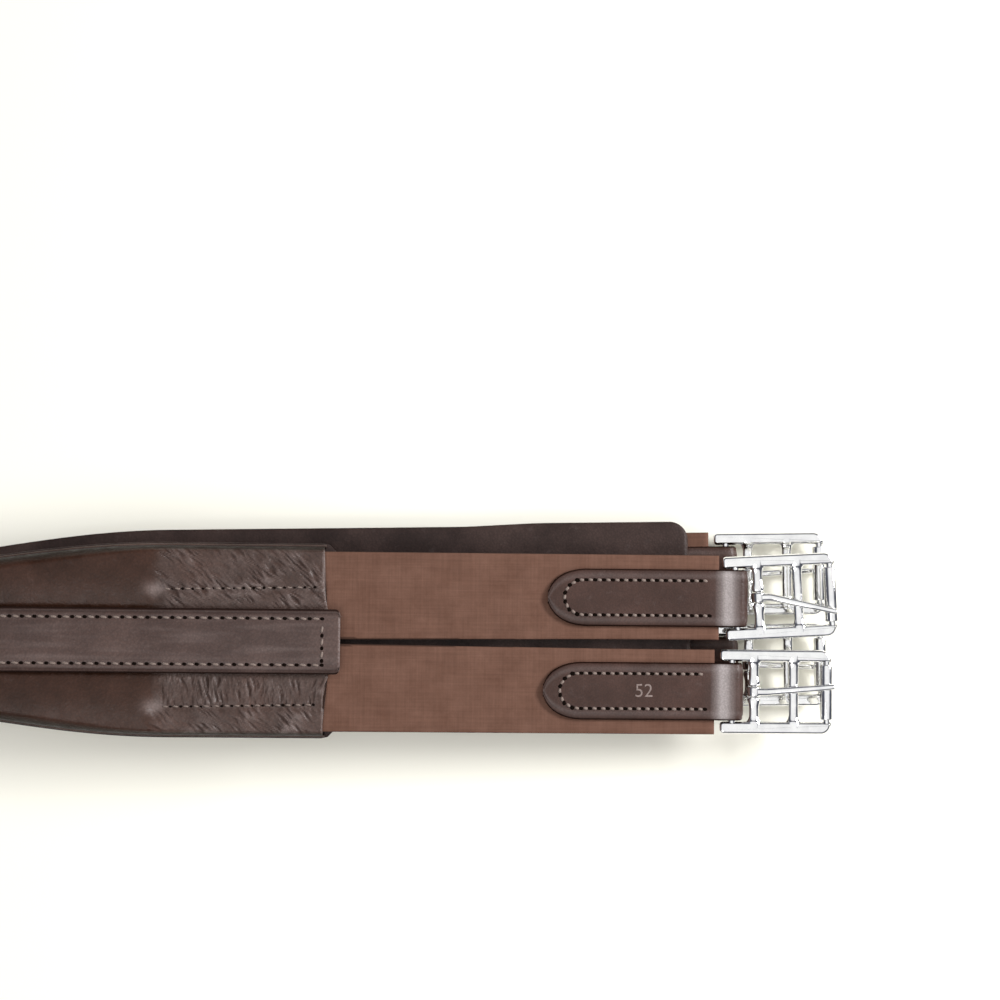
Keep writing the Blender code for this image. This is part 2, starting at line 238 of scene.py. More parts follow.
def woven(name, dark, light, across=2100.0, along=1700.0):
    """Ribbed webbing: warp ribs along the length, picks across, and a slow tint."""
    made, tree, shader = node_material(name, 0.8, specular=0.15)
    where = tree.nodes.new("ShaderNodeUVMap").outputs["UV"]
    bars = [
        add(tree, "ShaderNodeTexNoise", Vector=where, Scale=1.0, Detail=3.0, Roughness=0.7)
        for _ in range(2)
    ]
    for node, scale in zip(bars, ((900.0, 25.0, 1.0), (25.0, 900.0, 1.0))):
        spread = add(tree, "ShaderNodeMapping", Vector=where, Scale=scale)
        tree.links.new(spread.outputs["Vector"], node.inputs["Vector"])
    plaid = mix(tree, 0.5, bars[0].outputs["Fac"], bars[1].outputs["Fac"])
    warp = add(tree, "ShaderNodeTexWave", Vector=where, Scale=across / 6.2832 * 2, Distortion=0.4)
    warp.bands_direction = "Y"
    weft = add(tree, "ShaderNodeTexWave", Vector=where, Scale=along / 6.2832 * 2, Distortion=0.6)
    weft.bands_direction = "X"
    weave = mix(tree, 0.5, warp.outputs["Color"], weft.outputs["Color"], "MULTIPLY")
    drift = add(tree, "ShaderNodeTexNoise", Vector=where, Scale=70.0, Detail=6.0, Roughness=0.7)
    colour = ramp(tree, drift.outputs["Fac"], ((0.3, dark), (0.7, light)))
    shade = ramp(tree, weave, ((0.0, grey(0.8)), (0.8, grey(1.05))))
    colour = mix(tree, 1.0, colour, shade, "MULTIPLY")
    plaid = ramp(tree, plaid, ((0.35, grey(0.84)), (0.65, grey(1.1))))
    colour = mix(tree, 1.0, colour, plaid, "MULTIPLY")
    # Darkened where the edge attribute is set: painted shade on the web's side faces.
    colour = mix(tree, painted(tree, "edge"), colour, tuple(c * 0.3 for c in dark))
    tree.links.new(colour, shader.inputs["Base Color"])
    bump = add(tree, "ShaderNodeBump", Strength=0.5, Distance=0.00012, Height=weave)
    tree.links.new(bump.outputs["Normal"], shader.inputs["Normal"])
    return made


def thread_material(name, colour):
    """Twisted waxed thread, darker between its strands as painted shade."""
    made, tree, shader = node_material(name, 0.55, sheen=0.2)
    where = tree.nodes.new("ShaderNodeTexCoord").outputs["Object"]
    wave = add(tree, "ShaderNodeTexWave", Vector=where, Scale=900.0, Distortion=1.0)
    wave.bands_direction = "DIAGONAL"
    stops = ((0.0, tuple(c * 0.6 for c in colour)), (1.0, colour))
    twist = ramp(tree, wave.outputs["Fac"], stops)
    tree.links.new(twist, shader.inputs["Base Color"])
    bump = add(tree, "ShaderNodeBump", Strength=0.5, Distance=0.0001, Height=wave.outputs["Fac"])
    tree.links.new(bump.outputs["Normal"], shader.inputs["Normal"])
    return made


def chrome_material(name):
    """Polished plate with a faint cast ripple, fine scratches and slightly dull patches."""
    made, tree, shader = node_material(name, 0.09, metallic=1.0)
    where = tree.nodes.new("ShaderNodeTexCoord").outputs["Object"]
    cloud = add(tree, "ShaderNodeTexNoise", Vector=where, Scale=160.0, Detail=4.0)
    ripple = add(tree, "ShaderNodeTexNoise", Vector=where, Scale=420.0, Detail=2.0)
    colour = ramp(tree, cloud.outputs["Fac"], ((0.3, (0.80, 0.80, 0.80)), (0.7, (0.92, 0.92, 0.91))))
    rough = ramp(tree, cloud.outputs["Fac"], ((0.35, grey(0.06)), (0.7, grey(0.17))))
    tree.links.new(colour, shader.inputs["Base Color"])
    tree.links.new(rough, shader.inputs["Roughness"])
    bump = add(tree, "ShaderNodeBump", Strength=0.12, Distance=0.0004, Height=ripple.outputs["Fac"])
    tree.links.new(bump.outputs["Normal"], shader.inputs["Normal"])
    return made


def hole_shade_material(name):
    """Painted shade: a near-black spot for the shade inside a stitch hole."""
    made, _, shader = node_material(name, 0.9, specular=0.0)
    shader.inputs["Base Color"].default_value = (0.006, 0.004, 0.003, 1)
    return made


LOOKS = {
    "cover_leather": leather(
        "cover_leather", (0.031, 0.012, 0.006), (0.062, 0.027, 0.017), 0.38, specular=0.22
    ),
    "strap_leather": leather(
        "strap_leather", (0.052, 0.026, 0.020), (0.100, 0.057, 0.046), 0.38, specular=0.32
    ),
    # The tab's lighter colour is lifted high so that it reads as the painted highlight on its wrap.
    "tab_leather": leather(
        "tab_leather", (0.040, 0.016, 0.010), (0.070, 0.032, 0.023), 0.42, 1200.0, 0.12, rubbed_and_lit=0.34
    ),
    "lining": leather(
        "lining", (0.022, 0.011, 0.009), (0.052, 0.030, 0.025), 0.5, 1000.0, specular=0.2
    ),
    "elastic": woven("elastic", (0.128, 0.062, 0.041), (0.178, 0.092, 0.064)),
    "thread": thread_material("thread", (0.24, 0.175, 0.145)),
    # Painted highlight: the pressed digits are much lighter than the tab.
    "digit_highlight": leather("digit_highlight", (0.24, 0.18, 0.16), (0.33, 0.26, 0.235), 0.35, grain=1400.0),
    "piping": leather("piping", (0.06, 0.035, 0.028), (0.10, 0.062, 0.05), 0.4, grain=1400.0),
    "hole_shade": hole_shade_material("hole_shade"),
    "buckle_steel": chrome_material("buckle_steel"),
}


# Mesh helpers


def smoothstep(a, b, x):
    """0 before a, 1 after b, smooth between."""
    t = np.clip((np.asarray(x, float) - a) / (b - a), 0.0, 1.0)
    return t * t * (3 - 2 * t)


def ease(t):
    """Half a cosine wave from 0 to 1."""
    return (1 - np.cos(np.pi * np.clip(t, 0.0, 1.0))) / 2


def pad_half(x):
    """Half the pad's width: wide at the fold, waisted, wide again at the buckle end."""
    near = FOLD_HALF + (WAIST_HALF - FOLD_HALF) * ease((x - PLAIN_END) / (WAIST_AT - PLAIN_END))
    far = WAIST_HALF + (END_HALF - WAIST_HALF) * ease((x - WAIST_AT) / (WIDE_FROM - WAIST_AT))
    return np.where(x < WAIST_AT, near, far)


def place(points, matrix):
    """Points in millimetres in a local frame, as world points in metres."""
    m = np.array(matrix)
    return np.asarray(points) @ m[:3, :3].T + m[:3, 3]


def grid_faces(rows, cols):
    """The faces between rows of points, each row a closed ring."""
    faces = []
    for i in range(rows - 1):
        for j in range(cols):
            k = (j + 1) % cols
            a, b = i * cols, (i + 1) * cols
            faces.append((a + j, a + k, b + k, b + j))
    return faces


def grid_normals(grid):
    """Smooth normals of rows of points, each row a closed ring."""
    along = np.gradient(grid, axis=0)
    across = np.roll(grid, -1, axis=1) - np.roll(grid, 1, axis=1)
    normal = np.cross(across, along)
    return normal / np.maximum(np.linalg.norm(normal, axis=2, keepdims=True), 1e-12)


def new_piece(name, verts, faces, look, uv=None, edge=None, highlight_and_wear=None, normals=None):
    """A mesh object with the look's material and optional cloth coordinates."""
    mesh = bpy.data.meshes.new(name)
    mesh.from_pydata([tuple(v) for v in verts], [], faces)
    mesh.validate()
    mesh.shade_smooth()
    if uv is not None:
        layer = mesh.uv_layers.new(name="cloth")
        index = np.empty(len(mesh.loops), np.int32)
        mesh.loops.foreach_get("vertex_index", index)
        layer.data.foreach_set("uv", np.asarray(uv, np.float32)[index].ravel())
    for title, values in (("edge", edge), ("highlight_and_wear", highlight_and_wear)):
        if values is not None:
            attribute = mesh.attributes.new(title, "FLOAT", "POINT")
            attribute.data.foreach_set("value", np.asarray(values, np.float32))
    if normals is not None:
        mesh.normals_split_custom_set_from_vertices([tuple(n) for n in normals])
    obj = new_object(name, mesh)
    mesh.materials.append(LOOKS[look])
    return obj


# The long sheets, round the fold

LOWER, UPPER = HALF["lower"], HALF["upper"]
OUT_LOWER, OUT_UPPER = (m.col[2].xyz.normalized() for m in (LOWER, UPPER))
FOLD_TURN = math.pi + math.acos(max(-1.0, min(1.0, OUT_LOWER.dot(-OUT_UPPER))))


def arc_matrix(turn):
    """The section frame on the fold's arc, after turning by turn from the lower half."""
    base = Matrix.Translation(LOWER.translation) @ Matrix.Scale(MM, 4)
    centre = Matrix.Translation((ARC_START, 0.0, ARC_RADIUS))
    spin = Matrix.Rotation(turn, 4, "Y")
    return base @ centre @ spin @ Matrix.Translation((0.0, 0.0, -ARC_RADIUS))


FLIP = Matrix.Rotation(math.pi, 4, "Z")
START_FIX = (LOWER @ Matrix.Translation((ARC_START, 0, 0))) @ arc_matrix(0.0).inverted()
END_FIX = (UPPER @ Matrix.Translation((ARC_START, 0, 0)) @ FLIP) @ arc_matrix(FOLD_TURN).inverted()


def fix_matrix(share):
    """Blends the small skew at either end of the arc into its middle."""
    fix, t = (START_FIX, 1 - 2 * share) if share < 0.5 else (END_FIX, 2 * share - 1)
    t = max(0.0, min(1.0, t))
    t = t * t * (3 - 2 * t)
    turn = Matrix.Identity(3).to_quaternion().slerp(fix.to_quaternion(), t)
    return Matrix.Translation(fix.translation * t) @ turn.to_matrix().to_4x4()


ARC_STEPS = 10


def stations(xs):
    """Every section of a sheet that runs round the fold: (matrix, x, piece number)."""
    down = [x for x in sorted(xs, reverse=True) if x > ARC_START]
    out = [(LOWER @ Matrix.Translation((x, 0, 0)), x, "lower") for x in down]
    count = (LINKS + 1) * ARC_STEPS
    for i in range(count + 1):
        share = i / count
        out.append((fix_matrix(share) @ arc_matrix(FOLD_TURN * share), ARC_START, i))
    out += [(UPPER @ Matrix.Translation((x, 0, 0)) @ FLIP, x, "upper") for x in reversed(down)]
    return out


def long_sheet(name, xs, section, look, replaced):
    """Builds the lower half, the fold's pieces and the upper half of one continuous sheet.

    section(x, part) gives the ring of (y, z) or (y, z, x shift) points, then how dark each one's
    edge is, which is partly painted shade, and how much it is lightened by wear and painted highlight.
    Each half is capped at its free end.
    """
    places = stations(xs)
    rows, edges, highlights_and_wear, lengths = [], [], [], []
    run = 0.0
    for index, (matrix, x, part) in enumerate(places):
        ring, edge, highlight_and_wear = section(x, part)
        ring = np.asarray(ring, float)
        shift = ring[:, 2] if ring.shape[1] == 3 else np.zeros(len(ring))
        shift = -shift if part == "upper" else shift
        rows.append(place(np.column_stack([shift, ring[:, 0], ring[:, 1]]), matrix))
        edges.append(edge)
        highlights_and_wear.append(highlight_and_wear)
        if index:
            run += float(np.linalg.norm(rows[-1].mean(axis=0) - rows[-2].mean(axis=0)))
        lengths.append(run)
    grid = np.array(rows)
    edges, highlights_and_wear = np.array(edges), np.array(highlights_and_wear)
    normals = grid_normals(grid)
    gaps = np.linalg.norm(np.diff(grid[len(grid) // 2], axis=0), axis=1)
    around = np.concatenate([[0.0], np.cumsum(gaps)])
    first = next(i for i, s in enumerate(places) if s[2] == 0)
    last = first + (LINKS + 1) * ARC_STEPS
    pieces = [(f"lower_{name}_skin", 0, first, "lower")]
    pieces += [
        (f"fold_{name}_skin_{k + 1}", first + k * ARC_STEPS, first + (k + 1) * ARC_STEPS, k)
        for k in range(LINKS + 1)
    ]
    pieces.append((f"upper_{name}_skin", last, len(grid) - 1, "upper"))
    cols = grid.shape[1]
    made = []
    for title, i0, i1, what in pieces:
        part = grid[i0 : i1 + 1]
        verts = part.reshape(-1, 3)
        faces = grid_faces(len(part), cols)
        if what == "lower":
            faces.append(tuple(range(cols - 1, -1, -1)))
        if what == "upper":
            faces.append(tuple((len(part) - 1) * cols + j for j in range(cols)))
        along = np.array(lengths[i0 : i1 + 1])[:, None]
        uv = np.stack(np.broadcast_arrays(along, around[None, :]), axis=-1).reshape(-1, 2)
        obj = new_piece(
            title,
            verts,
            faces,
            look,
            uv=uv,
            edge=edges[i0 : i1 + 1].ravel(),
            highlight_and_wear=highlights_and_wear[i0 : i1 + 1].ravel(),
            normals=normals[i0 : i1 + 1].reshape(-1, 3),
        )
        if isinstance(what, int):
            join_fold(obj, what)
        else:
            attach(obj, f"{what}_half")
        made.append(obj)
    for obj in made:
        names = replaced.get(obj.name)
        if names:
            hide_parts(*names)


def join_fold(obj, k):
    """Bakes a fold piece's placement into its mesh."""
    middle = arc_matrix(FOLD_TURN * (k + 0.5) / (LINKS + 1))
    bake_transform(obj)


# Sections


def gathers(x, y, lean, seed):
    """Ridges about 2.5 mm apart, across the direction that lean (radians) points in."""
    drift = 1.2 * noise.noise(Vector((x / 9.0, y / 9.0, 7.0 + seed)))
    across = math.cos(lean) * x + math.sin(lean) * y + drift
    along = -math.sin(lean) * x + math.cos(lean) * y
    return 1.0 - 2.4 * abs(noise.noise(Vector((across / 1.5, along / 9.0, 3.0 + seed))))


def wrinkle(x, y):
    """Fine gathers in the flattened leather: slanting above the strap, upright below it."""
    slow = 0.7 + 0.8 * noise.noise(Vector((x / 13.0, y / 10.0, 9.0)))
    if y > 0:
        return slow * gathers(x, y, 0.85, 1.0)
    share = float(smoothstep(28, 36, -y))
    return slow * ((1 - share) * gathers(x, y, 0.15, 0.0) + share * gathers(x, y, 0.9, 2.0))


def edge_roll(x):
    """How far in from the pad's edge the leather starts to turn down."""
    return 5.5 - 2.5 * float(smoothstep(250, FLAT_FROM, x))


def cover_depth(x, y, half, fold):
    """How far the leather's outer face lies from the strap's, in millimetres."""
    a = abs(y)
    roll = edge_roll(x)
    flat = float(smoothstep(FLAT_FROM - 8, FLAT_FROM + 3, x)) if not fold else 0.0
    share = (a - STRAP_HALF) / (half - STRAP_HALF)
    z = COVER_OUT + 0.15
    if 0 < share < 1:
        swell = min(1.0, (half - STRAP_HALF) / 26.0)
        z -= (2.6 * (1 - flat) + 0.5 * flat) * swell * math.sin(math.pi * share) ** 0.75
    for row, sign in ROWS:
        if y * sign > 0 and not fold:
            begun = float(smoothstep(FLAT_FROM - 2, FLAT_FROM + 1, x))
            z += 0.7 * math.exp(-(((y - row) / 1.5) ** 2)) * begun
            pinch = math.exp(-(((x - FLAT_FROM + 3) / 4.0) ** 2) - ((y - row) / 6.0) ** 2)
            z += 1.9 * pinch
    inside = float(smoothstep(STRAP_HALF, STRAP_HALF + 3, a)) * (1 - float(smoothstep(half - 4, half - 1, a)))
    end = 1 - 0.7 * float(smoothstep(COVER_END - 3, COVER_END, x))
    away = float(smoothstep(ARC_START, 40, x)) if not fold else 0.0
    z -= 1.0 * flat * inside * end * wrinkle(x, y)
    z += 0.5 * away * inside * noise.noise(Vector((x / 34.0, y / 17.0, 1.0)))
    if a > half - roll:
        t = min(1.0, (a - (half - roll)) / roll)
        z = COVER_IN - (COVER_IN - z) * math.sqrt(max(0.0, 1 - t * t))
    return z


COVER_POINTS, COVER_INSIDE = 131, 31


def ragged(x, y):
    """The leather's cut end is a little uneven, and longer beside the strap."""
    near = float(smoothstep(COVER_END - 12, COVER_END, x)) if x > COVER_END - 12 else 0.0
    if not near:
        return 0.0
    beside = math.exp(-(((abs(y) - STRAP_HALF - 1.0) / 4.5) ** 2))
    return near * (noise.noise(Vector((y / 5.0, 4.0, 2.0))) + 2.0 * beside - 0.8)


def cover_section(x, part):
    """The leather's closed ring at x: out over the pad and back inside it."""
    half = float(pad_half(np.array(x)))
    fold = isinstance(part, int)
    roll = edge_roll(x)
    flat = np.linspace(-(half - roll), half - roll, COVER_POINTS)
    turn = np.linspace(0, math.pi / 2, 11)[1:]
    side = half - roll + roll * np.sin(turn)
    ys = np.concatenate([-side[::-1], flat, side])
    end = float(smoothstep(COVER_END - 0.9, COVER_END, x))
    outer = [(y, cover_depth(x, y, half, fold) + end * 0.7, ragged(x, y)) for y in ys]
    inner = []
    for y in np.linspace(half - 1.3, -(half - 1.3), COVER_INSIDE):
        z = cover_depth(x, y, half - 1.3, True)
        inner.append((y, min(max(z, COVER_OUT) + 1.3 - end * 0.4, COVER_IN), ragged(x, y)))
    # Painted highlight: the flattened, wrinkled leather is lightened, most on its ridges and round the pinch
    # where each stitch row begins; the last 0.9 mm at the cut end is lightened too.
    highlight_and_wear = np.zeros(len(outer) + len(inner))
    if not fold and x > FLAT_FROM - 6:
        flatness = float(smoothstep(FLAT_FROM - 6, FLAT_FROM + 5, x))
        ridges = [max(0.0, wrinkle(x, y)) if abs(y) > STRAP_HALF else 0.0 for y in ys]
        highlight_and_wear[: len(ys)] = np.minimum(1.0, flatness * (0.2 + 0.6 * np.array(ridges) ** 2) + 0.6 * end)
    for row, _ in ROWS if not fold else ():
        near = math.exp(-(((x - FLAT_FROM + 3) / 5.0) ** 2)) * np.exp(-(((ys - row) / 3.5) ** 2))
        highlight_and_wear[: len(ys)] = np.minimum(1.0, highlight_and_wear[: len(ys)] + 0.95 * near)
    # Painted shade: the leather's turned-down roll at each side is darkened.
    edge = np.zeros(len(highlight_and_wear))
    edge[: len(ys)] = 0.9 * smoothstep(half - roll + 0.6, half - 1.2, np.abs(ys))
    return outer + inner, edge, highlight_and_wear


LINING_TURNS = [2 * math.pi * i / 72 for i in range(72)]
FLAP_SPREAD = 1.5


def lining_section(x, part):
    """The padded inner face: a flattened roll, whose lower flap keeps its width and spreads."""
    half = float(pad_half(np.array(x))) + LINING_PAST
    if x > COVER_END:
        step = float(smoothstep(COVER_END, COVER_END + 5, x))
        flap = FLAP_HALF
        if part == "lower":
            flap = half + FLAP_SPREAD * float(smoothstep(COVER_END + 60, COVER_END + 110, x))
        half += (flap - half) * step
    corner = x - (LINING_END - FLAP_CORNER)
    if corner > 0:
        half -= FLAP_CORNER - math.sqrt(max(0.0, FLAP_CORNER**2 - corner**2))
    thin = math.sqrt(max(0.02, 1 - max(0.0, (x - (LINING_END - 2.2)) / 2.25) ** 2))
    deep = LINING_DEEP * thin
    points = []
    for a in LINING_TURNS:
        c, s = math.cos(a), math.sin(a)
        y = (half - 3.5) * (abs(c) ** 0.55) * (1 if c > 0 else -1) + 3.5 * c
        z = deep * (abs(s) ** 0.42) * (1 if s > 0 else -1)
        wave = 0.16 * noise.noise(Vector((x / 17.0, y / 12.0, 5.0 + (s > 0)))) if part in HALVES else 0.0
        points.append((y, LINING_MID + z + wave * thin))
    return points, np.zeros(len(points)), np.zeros(len(points))


SIDE_TURNS = np.radians(np.linspace(-80, 80, 9))
BURNISHED = [0.5] + [0.9] * 7 + [0.5]


def strap_section(x, part):
    """A flat strap with rounded, burnished edges and a creased line inside each."""
    half, middle, top = STRAP_HALF, STRAP_DEPTH / 2 + 0.1, 0.12
    corner = x - (STRAP_END - 2.5)
    if corner > 0 and part in HALVES:
        half -= 2.5 - math.sqrt(max(0.0, 2.5**2 - corner**2))
    end = smoothstep(STRAP_END - 1.0, STRAP_END, x) if part in HALVES else 0.0
    points, edge, highlight_and_wear = [], [], []
    for y in np.linspace(-(half - 1.2), half - 1.2, 45):
        crease = 0.30 * math.exp(-(((abs(y) - (half - 2.1)) / 0.45) ** 2))
        crown = 0.15 * (y / half) ** 2
        row = 0.22 * math.exp(-(((abs(y) - STRAP_ROW) / 0.9) ** 2))
        points.append((y, top + crease + crown + row + 0.6 * float(end)))
        # Painted shade: the top face darkens towards its rims and in each crease; the burnished sides are
        # dark edge dye.
        rim = 0.3 * float(smoothstep(half - 3.2, half - 1.2, abs(y)))
        edge.append(rim + 0.35 * math.exp(-(((abs(y) - (half - 2.1)) / 0.5) ** 2)))
        # Lighter streaks: part wear, part painted highlight.
        highlight_and_wear.append(0.28 * max(0.0, noise.noise(Vector((x / 34.0, y / 2.3, 7.0))) + 0.05))
    side = [
        (half - 1.2 + 1.2 * math.cos(a), middle + (middle - top) * math.sin(a)) for a in SIDE_TURNS
    ]
    back = [(y, STRAP_DEPTH + 0.1) for y in np.linspace(half - 1.2, -(half - 1.2), 9)]
    points += side + back + [(-y, z) for y, z in reversed(side)]
    edge += BURNISHED + [0.3] * len(back) + BURNISHED
    rim = np.array(edge)
    # Painted sheen: the last stretch towards the buckle end is lightened, and the cut end gets a painted
    # highlight.
    worn_and_lit = 0.08 * float(smoothstep(STRAP_END - 110, STRAP_END - 10, x)) if part in HALVES else 0.0
    rubbed_and_lit = np.array(highlight_and_wear + [0.0] * (len(rim) - len(highlight_and_wear)))
    return points, rim * (1 - float(end)), np.minimum(1.0, rubbed_and_lit + worn_and_lit + 0.5 * float(end))


def bead_section(side):
    """A thin piping along the seam where the leather meets the lining."""

    def section(x, _):
        y = side * (float(pad_half(np.array(x))) + 0.05)
        ring = [(y + 0.75 * math.cos(a), COVER_IN + 0.1 + 0.75 * math.sin(a)) for a in BEAD_TURNS]
        return ring, np.zeros(len(ring)), np.zeros(len(ring))

    return section


BEAD_TURNS = np.linspace(0, 2 * math.pi, 11)[:-1]


def span(*pieces):
    """Stations from (start, end, step) runs."""
    out = []
    for start, end, step in pieces:
        out += list(np.arange(start, end, step))
    return out


def make_body():
    """The cover, lining, piping and strap, each one sheet round the fold."""
    covers = {f"fold_cover_skin_{k}": [f"fold_pad_{k}"] for k in range(1, LINKS + 1)}
    for half in HALVES:
        covers[f"{half}_cover_skin"] = [f"{half}_cover", f"{half}_foam", f"{half}_web"]
    cover_xs = span((ARC_START + 1, 40, 1.5), (40, 292, 2.2), (292, COVER_END - 1, 0.62))
    cover_xs += [COVER_END - 0.9, COVER_END - 0.6, COVER_END - 0.3, COVER_END]
    long_sheet("cover", cover_xs, cover_section, "cover_leather", covers)
    flap_tip = (LINING_END - 9.5, LINING_END, 0.7)
    lining_xs = span((ARC_START + 1, 40, 1.5), (40, LINING_END - 10, 3.0), flap_tip)
    lining_xs += [LINING_END - 0.15, LINING_END]
    linings = {f"{h}_lining_skin": [f"{h}_lining"] for h in HALVES}
    long_sheet("lining", lining_xs, lining_section, "lining", linings)
    bead_xs = span((ARC_START + 1, 40, 1.5), (40, COVER_END - 1, 3.0)) + [COVER_END]
    for side, label in ((1, "left"), (-1, "right")):
        long_sheet(f"{label}_piping", bead_xs, bead_section(side), "piping", {})
    strap_tip = (STRAP_END - 3.5, STRAP_END, 0.3)
    strap_xs = span((ARC_START + 1, 40, 1.5), (40, STRAP_END - 4, 3.0), strap_tip)
    strap_xs += [STRAP_END]
    straps = {f"{h}_strap_skin": [f"{h}_strap"] for h in HALVES}
    straps.update({f"fold_strap_skin_{k}": [f"fold_strap_{k}"] for k in range(1, LINKS + 1)})
    long_sheet("strap", strap_xs, strap_section, "strap_leather", straps)


# Stitches


def ellipsoid(centre, along, up, sizes, rings=4, around=8):
    """A small closed ellipsoid: its points and faces."""
    along = along / np.linalg.norm(along)
    side = np.cross(up, along)
    side /= np.linalg.norm(side)
    up = np.cross(along, side)
    verts = [centre - along * sizes[0]]
    for i in range(1, rings):
        a = math.pi * i / rings
        for j in range(around):
            b = 2 * math.pi * j / around
            verts.append(
                centre
                - along * sizes[0] * math.cos(a)
                + (side * sizes[1] * math.cos(b) + up * sizes[2] * math.sin(b)) * math.sin(a) ** 0.6
            )
    verts.append(centre + along * sizes[0])
    faces = []
    last = len(verts) - 1
    for j in range(around):
        k = (j + 1) % around
        faces.append((0, 1 + k, 1 + j))
        for i in range(rings - 2):
            a, b = 1 + i * around, 1 + (i + 1) * around
            faces.append((a + j, a + k, b + k, b + j))
        end = 1 + (rings - 2) * around
        faces.append((end + j, end + k, last))
    return verts, faces


def stitch_line(points, pitch):
    """Evenly spaced (place, direction) along a polyline of (x, y) points."""
    points = np.asarray(points, float)
    lengths = np.linalg.norm(np.diff(points, axis=0), axis=1)
    total = lengths.sum()
    count = max(1, int(round(total / pitch)))
    ends = np.concatenate([[0], np.cumsum(lengths)])
    out = []
    for i in range(count):
        s = (i + 0.5) * total / count
        k = min(int(np.searchsorted(ends, s, side="right")) - 1, len(lengths) - 1)
        t = (s - ends[k]) / lengths[k]
        out.append((points[k] * (1 - t) + points[k + 1] * t, (points[k + 1] - points[k]) / lengths[k]))
    return out, total / count


THREAD_LIFT, HOLE_SINK = -0.12, 0.05
STRAP_PITCH, PAD_PITCH, TAB_PITCH = 5.9, 4.8, 4.2
THREAD_WIDE, THREAD_DEEP, HOLE_DEEP, SLANT = 0.62, 0.38, 0.3, 0.16
UP = np.array([0.0, 0.0, -1.0])


class Seam:
    """Threads and the painted shade of their holes gathered as world points, then made into one piece of
    each.
    """

    def __init__(self):
        self.kinds = {"stitches": ([], [], "thread"), "stitch_hole_shade": ([], [], "hole_shade")}

    def spot(self, kind, centre, way, sizes, matrix):
        """Adds one thread or the painted shade of one hole."""
        verts, faces, _ = self.kinds[kind]
        shape, sides = ellipsoid(np.array(centre), np.array(way), UP, sizes)
        base = len(verts)
        verts.extend(place(shape, matrix))
        faces.extend(tuple(base + corner for corner in face) for face in sides)

    def pieces(self, name):
        """Makes the mesh objects, one per kind."""
        for kind, (verts, faces, look) in self.kinds.items():
            if verts:
                yield new_piece(f"{name}_{kind}", verts, faces, look)


def thread_sizes(step, wide):
    """Half the length, width and depth of one thread."""
    return step * 0.27, wide, THREAD_DEEP


def hole_sizes(wide):
    """Half the length, width and depth of one stitch hole."""
    return wide * 1.75, wide * 1.5, HOLE_DEEP


def sew(name, lines, depth, pitch, matrix, body, wide=THREAD_WIDE, slant=SLANT):
    """Thread and the painted shade of its holes along lines drawn in the half's plane, at the depth of the
    leather.
    """
    seam = Seam()
    for line in lines:
        spots, step = stitch_line(line, pitch)
        for (x, y), (dx, dy) in spots:
            tilt = (dx - slant * dy, dy + slant * dx, 0.0)
            at = (x, y, depth(x, y) + THREAD_LIFT)
            seam.spot("stitches", at, tilt, thread_sizes(step, wide), matrix)
            hx, hy = x + dx * step / 2, y + dy * step / 2
            at = (hx, hy, depth(hx, hy) + HOLE_SINK)
            seam.spot("stitch_hole_shade", at, tilt, hole_sizes(wide), matrix)
    for obj in seam.pieces(name):
        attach(obj, body)


ROW_TOP, STRAP_TOP = 0.35, 0.16


def sew_fold():
    """The strap's two rows carried on round the fold."""
    count = int(round(ARC_RADIUS * FOLD_TURN / STRAP_PITCH))
    step = ARC_RADIUS * FOLD_TURN / count
    seams = [Seam() for _ in range(LINKS + 1)]
    for i in range(2 * count):
        share = (i + 0.5) / (2 * count)
        seam = seams[int(share * (LINKS + 1))]
        matrix = fix_matrix(share) @ arc_matrix(FOLD_TURN * share)
        for y in (-STRAP_ROW, STRAP_ROW):
            tilt = (1.0, SLANT, 0.0)
            if i % 2:
                at = (0.0, y, ROW_TOP + HOLE_SINK)
                seam.spot("stitch_hole_shade", at, tilt, hole_sizes(THREAD_WIDE), matrix)
            else:
                at = (0.0, y, ROW_TOP + THREAD_LIFT)
                seam.spot("stitches", at, tilt, thread_sizes(step, THREAD_WIDE), matrix)
    for k, seam in enumerate(seams):
        for obj in seam.pieces(f"fold_{k + 1}"):
            join_fold(obj, k)


def strap_top(_, y):
    """The depth of the strap's face: lower in the groove of each row."""
    return ROW_TOP if abs(abs(y) - STRAP_ROW) < 1.2 else STRAP_TOP


def make_stitches():
    """The rows on the strap, all the way round, and the short rows on the pad's ends."""
    sew_fold()
    for half in HALVES:
        end = STRAP_END - 8.5
        rows = [[(ARC_START, y), (end, y)] for y in (-STRAP_ROW, STRAP_ROW)]
        rows.append([(end, 2.0 - STRAP_ROW), (end, STRAP_ROW - 2.0)])
        sew(f"{half}_strap", rows, strap_top, STRAP_PITCH, HALF[half], f"{half}_half")
        turn = -1 if half == "upper" else 1
        short = [[(FLAT_FROM, turn * y), (COVER_END - 5, turn * (y + 1.5))] for y, _ in ROWS]

        def on_cover(x, y, turn=turn):
            return cover_depth(x, turn * y, END_HALF, False)

        sew(f"{half}_pad", short, on_cover, PAD_PITCH, HALF[half], f"{half}_half", wide=0.45)


# Elastics and chapes


def sweep(name, sections, look, edges=None, highlights_and_wear=None, uv=None, matrix=None):
    """A closed solid through rings of points, capped at both ends."""
    grid = np.array([place(s, matrix) for s in sections])
    cols = grid.shape[1]
    faces = grid_faces(len(grid), cols)
    faces.append(tuple(range(cols - 1, -1, -1)))
    faces.append(tuple((len(grid) - 1) * cols + j for j in range(cols)))
    obj = new_piece(name, grid.reshape(-1, 3), faces, look, uv=uv, edge=edges, highlight_and_wear=highlights_and_wear)
    obj.data.set_sharp_from_angle(angle=math.radians(50))
    return obj


